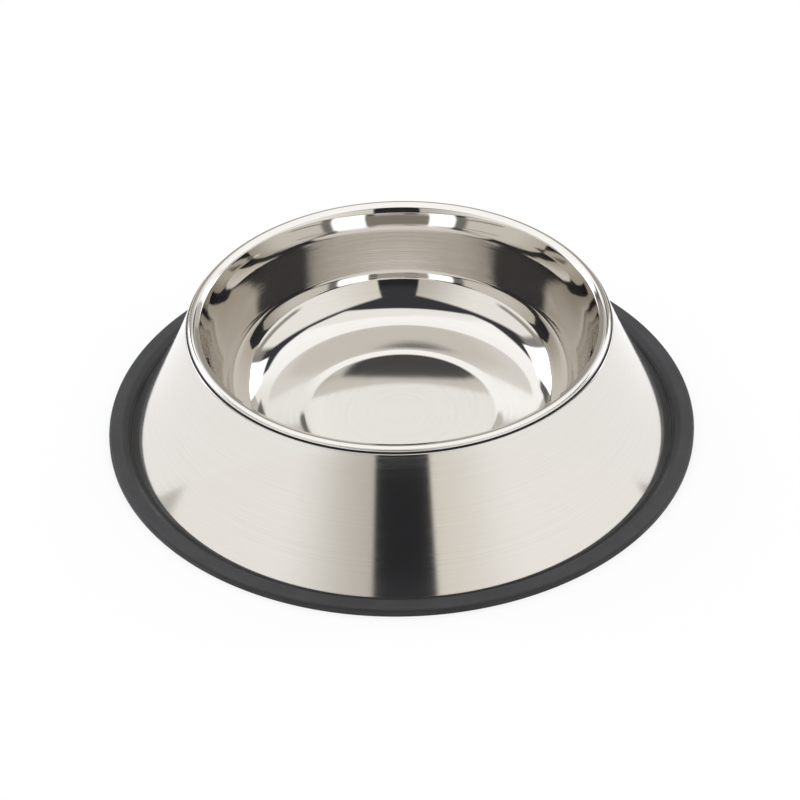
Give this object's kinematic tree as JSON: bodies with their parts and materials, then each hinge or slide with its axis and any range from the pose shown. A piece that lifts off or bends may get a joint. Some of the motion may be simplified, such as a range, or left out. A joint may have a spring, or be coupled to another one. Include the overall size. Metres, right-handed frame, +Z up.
{
  "type": "pet bowl",
  "caption": "Non-tip steel pet bowl: a polished round dish with a rolled rim, a flared conical skirt around it and a rubber ring around the base that keeps it from sliding.",
  "frame": {"origin": "centre of the ring's underside, on the table", "axes": "+Z up along the axis of the bowl; -Y toward the camera of the picture, +X to its right"},
  "size_m": [0.25, 0.25, 0.0552],
  "materials": {
    "polished_steel": "mirror polished",
    "satin_steel": "satin, brushed around the axis",
    "black_rubber": "matt moulded"
  },
  "bodies": {
    "root": {"feeding_bowl": "polished_steel", "outer_skirt": "satin_steel", "anti_slip_ring": "black_rubber"}
  },
  "joints": []
}
